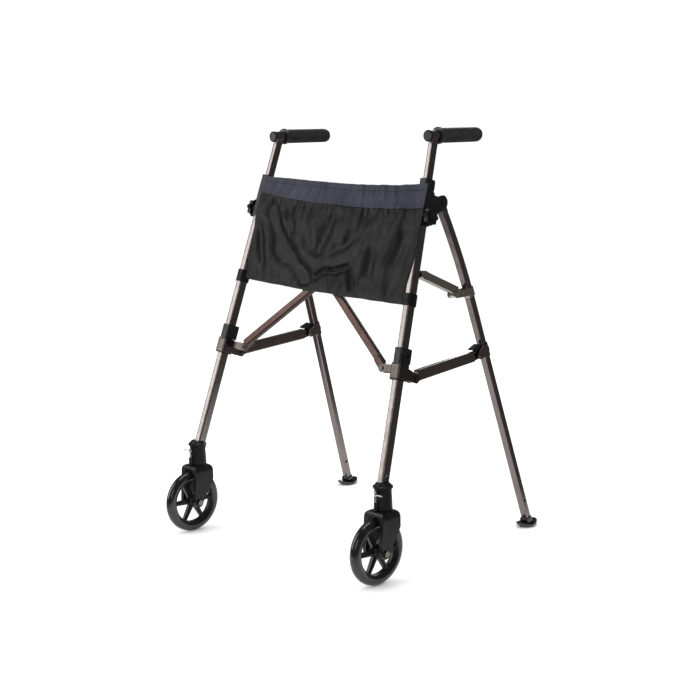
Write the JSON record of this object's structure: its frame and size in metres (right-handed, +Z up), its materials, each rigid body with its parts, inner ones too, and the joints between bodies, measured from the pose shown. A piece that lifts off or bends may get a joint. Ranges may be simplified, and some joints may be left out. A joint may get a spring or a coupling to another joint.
{
  "type": "folding two-wheel walker",
  "caption": "Folding walker with leaning side frames, an X brace, swivel front wheels, rear glides, height-adjustable handles and a fabric pouch.",
  "frame": {"origin": "middle of the outline, on the floor", "axes": "+X to the walker's right side, +Y behind it towards the user, +Z up"},
  "size_m": [0.6865, 0.6702, 0.9854],
  "materials": {
    "frame_tube": "satin walnut-brown anodising",
    "black_plastic": "fine matte black",
    "wheel_plastic": "satin black",
    "grip": "ribbed charcoal",
    "glide_foot": "smooth black",
    "tyre": "glossy black",
    "zinc_steel": "zinc plated",
    "fabric": "black woven nylon"
  },
  "bodies": {
    "right_front_leg": {"right_front_leg_tube": "frame_tube", "right_hub_casting": "black_plastic", "right_top_collar": "black_plastic", "right_stop_collar": "black_plastic", "right_caster_socket": "black_plastic", "right_rear_leg_bolt": "zinc_steel", "right_upper_link_catch": "black_plastic", "pouch": "fabric"},
    "right_slider": {"right_slider_bushing": "black_plastic", "right_slider_bracket": "frame_tube", "right_brace_rivet": "zinc_steel", "right_link_front_rivet": "zinc_steel"},
    "right_rear_leg": {"right_rear_leg_tube": "frame_tube", "right_glide_foot": "glide_foot", "right_rear_bracket_lower": "frame_tube", "right_rear_bracket_upper": "frame_tube", "right_upper_link_pin": "zinc_steel"},
    "right_lower_link": {"right_side_link": "frame_tube"},
    "right_upper_link": {"right_upper_link": "frame_tube"},
    "right_handle": {"right_handle_tube": "frame_tube", "right_handle_cap": "black_plastic", "right_grip": "grip"},
    "right_knob": {"right_height_knob": "black_plastic"},
    "right_latch": {"right_latch_lever": "black_plastic"},
    "right_fork": {"right_caster_fork": "black_plastic", "right_axle_bolt": "zinc_steel"},
    "right_lock_pin": {"right_lock_pin": "zinc_steel"},
    "right_wheel": {"right_wheel": "wheel_plastic", "right_tyre": "tyre"},
    "left_front_leg": {"left_front_leg_tube": "frame_tube", "left_hub_casting": "black_plastic", "left_top_collar": "black_plastic", "left_stop_collar": "black_plastic", "left_caster_socket": "black_plastic", "left_rear_leg_bolt": "zinc_steel", "left_upper_link_catch": "black_plastic"},
    "left_slider": {"left_slider_bushing": "black_plastic", "left_slider_bracket": "frame_tube", "left_brace_rivet": "zinc_steel", "left_link_front_rivet": "zinc_steel"},
    "left_rear_leg": {"left_rear_leg_tube": "frame_tube", "left_glide_foot": "glide_foot", "left_rear_bracket_lower": "frame_tube", "left_rear_bracket_upper": "frame_tube", "left_upper_link_pin": "zinc_steel"},
    "left_lower_link": {"left_side_link": "frame_tube"},
    "left_upper_link": {"left_upper_link": "frame_tube"},
    "left_handle": {"left_handle_tube": "frame_tube", "left_handle_cap": "black_plastic", "left_grip": "grip"},
    "left_knob": {"left_height_knob": "black_plastic"},
    "left_latch": {"left_latch_lever": "black_plastic"},
    "left_fork": {"left_caster_fork": "black_plastic", "left_axle_bolt": "zinc_steel"},
    "left_lock_pin": {"left_lock_pin": "zinc_steel"},
    "left_wheel": {"left_wheel": "wheel_plastic", "left_tyre": "tyre"},
    "brace_arm_a": {"brace_arm_a": "frame_tube", "brace_centre_bolt": "zinc_steel"},
    "brace_arm_b": {"brace_arm_b": "frame_tube"}
  },
  "joints": [
    {"name": "fold", "type": "hinge", "parent": "right_front_leg", "child": "brace_arm_a", "pos_m": [0.23, -0.02216, 0.81247], "axis": [0, -0.948, 0.3182], "range_deg": [0, 38.07], "deforming": ["pouch"]},
    {"name": "brace_crossing", "type": "hinge", "parent": "brace_arm_a", "child": "brace_arm_b", "pos_m": [0, -0.08206, 0.634], "axis": [0, 0.948, -0.3182], "range_deg": [0, 73.43]},
    {"name": "left_hub_pin", "type": "hinge", "parent": "brace_arm_b", "child": "left_front_leg", "pos_m": [-0.23, -0.02216, 0.81247], "axis": [0, -0.948, 0.3182], "range_deg": [0, 38.12]},
    {"name": "right_slider_pin", "type": "hinge", "parent": "brace_arm_b", "child": "right_slider", "pos_m": [0.23, -0.14196, 0.45554], "axis": [0, -0.948, 0.3182], "range_deg": [0, 35.36]},
    {"name": "left_slider_pin", "type": "hinge", "parent": "brace_arm_a", "child": "left_slider", "pos_m": [-0.23, -0.14196, 0.45554], "axis": [0, 0.948, -0.3182], "range_deg": [0, 35.36]},
    {"name": "right_rear_leg_swing", "type": "hinge", "parent": "right_front_leg", "child": "right_rear_leg", "pos_m": [0.25874, 0.02155, 0.81636], "axis": [-0.9976, -0.022, -0.0655], "range_deg": [0, 24.82]},
    {"name": "right_lower_link_swing", "type": "hinge", "parent": "right_slider", "child": "right_lower_link", "pos_m": [0.28678, -0.10767, 0.43292], "axis": [0.9976, 0.022, 0.0655], "range_deg": [0, 49.75]},
    {"name": "right_upper_link_swing", "type": "hinge", "parent": "right_rear_leg", "child": "right_upper_link", "pos_m": [0.27197, 0.05493, 0.60374], "axis": [-0.9976, -0.022, -0.0655], "range_deg": [0, 57.15]},
    {"name": "right_handle_height", "type": "slide", "parent": "right_front_leg", "child": "right_handle", "axis": [-0.0691, 0.3174, 0.9458], "range_m": [-0.062, 0.086]},
    {"name": "right_knob_turn", "type": "hinge", "parent": "right_front_leg", "child": "right_knob", "pos_m": [0.2819, -0.04128, 0.79008], "axis": [0.9976, 0.022, 0.0655], "continuous": true},
    {"name": "right_latch_lift", "type": "hinge", "parent": "right_rear_leg", "child": "right_latch", "pos_m": [0.27886, 0.13528, 0.47186], "axis": [-0.9976, -0.022, -0.0655], "range_deg": [0, 15], "stiffness_Nm_per_rad": 0.2},
    {"name": "right_caster_swivel", "type": "hinge", "parent": "right_front_leg", "child": "right_fork", "pos_m": [0.308, -0.23705, 0.1673], "axis": [0, 0, 1], "continuous": true},
    {"name": "right_swivel_lock", "type": "slide", "parent": "right_front_leg", "child": "right_lock_pin", "axis": [0, 0, 1], "range_m": [-0.006, 0], "stiffness_N_per_m": 300},
    {"name": "right_wheel_spin", "type": "hinge", "parent": "right_fork", "child": "right_wheel", "pos_m": [0.30646, -0.25899, 0.0762], "axis": [0.9976, -0.0698, 0], "continuous": true},
    {"name": "left_rear_leg_swing", "type": "hinge", "parent": "left_front_leg", "child": "left_rear_leg", "pos_m": [-0.25874, 0.02155, 0.81636], "axis": [-0.9976, 0.022, 0.0655], "range_deg": [0, 24.82]},
    {"name": "left_lower_link_swing", "type": "hinge", "parent": "left_slider", "child": "left_lower_link", "pos_m": [-0.28678, -0.10767, 0.43292], "axis": [0.9976, -0.022, -0.0655], "range_deg": [0, 49.75]},
    {"name": "left_upper_link_swing", "type": "hinge", "parent": "left_rear_leg", "child": "left_upper_link", "pos_m": [-0.27197, 0.05493, 0.60374], "axis": [-0.9976, 0.022, 0.0655], "range_deg": [0, 57.15]},
    {"name": "left_handle_height", "type": "slide", "parent": "left_front_leg", "child": "left_handle", "axis": [0.0691, 0.3174, 0.9458], "range_m": [-0.062, 0.086]},
    {"name": "left_knob_turn", "type": "hinge", "parent": "left_front_leg", "child": "left_knob", "pos_m": [-0.2819, -0.04128, 0.79008], "axis": [0.9976, -0.022, -0.0655], "continuous": true},
    {"name": "left_latch_lift", "type": "hinge", "parent": "left_rear_leg", "child": "left_latch", "pos_m": [-0.27886, 0.13528, 0.47186], "axis": [-0.9976, 0.022, 0.0655], "range_deg": [0, 15], "stiffness_Nm_per_rad": 0.2},
    {"name": "left_caster_swivel", "type": "hinge", "parent": "left_front_leg", "child": "left_fork", "pos_m": [-0.308, -0.23705, 0.1673], "axis": [0, 0, 1], "continuous": true},
    {"name": "left_swivel_lock", "type": "slide", "parent": "left_front_leg", "child": "left_lock_pin", "axis": [0, 0, 1], "range_m": [-0.006, 0], "stiffness_N_per_m": 300},
    {"name": "left_wheel_spin", "type": "hinge", "parent": "left_fork", "child": "left_wheel", "pos_m": [-0.30954, -0.25899, 0.0762], "axis": [0.9976, -0.0698, 0], "continuous": true}
  ],
  "couplings": [
    {"joint": "brace_crossing", "follows": "fold", "ratio": 1.9276},
    {"joint": "left_hub_pin", "follows": "fold", "ratio": 1},
    {"joint": "right_slider_pin", "follows": "fold", "ratio": 0.9276},
    {"joint": "left_slider_pin", "follows": "fold", "ratio": 0.9276},
    {"joint": "right_rear_leg_swing", "follows": "fold", "ratio": 0.6506},
    {"joint": "right_lower_link_swing", "follows": "fold", "ratio": 1.3055},
    {"joint": "right_upper_link_swing", "follows": "fold", "ratio": 1.4999},
    {"joint": "left_rear_leg_swing", "follows": "fold", "ratio": 0.6506},
    {"joint": "left_lower_link_swing", "follows": "fold", "ratio": 1.3055},
    {"joint": "left_upper_link_swing", "follows": "fold", "ratio": 1.4999}
  ]
}
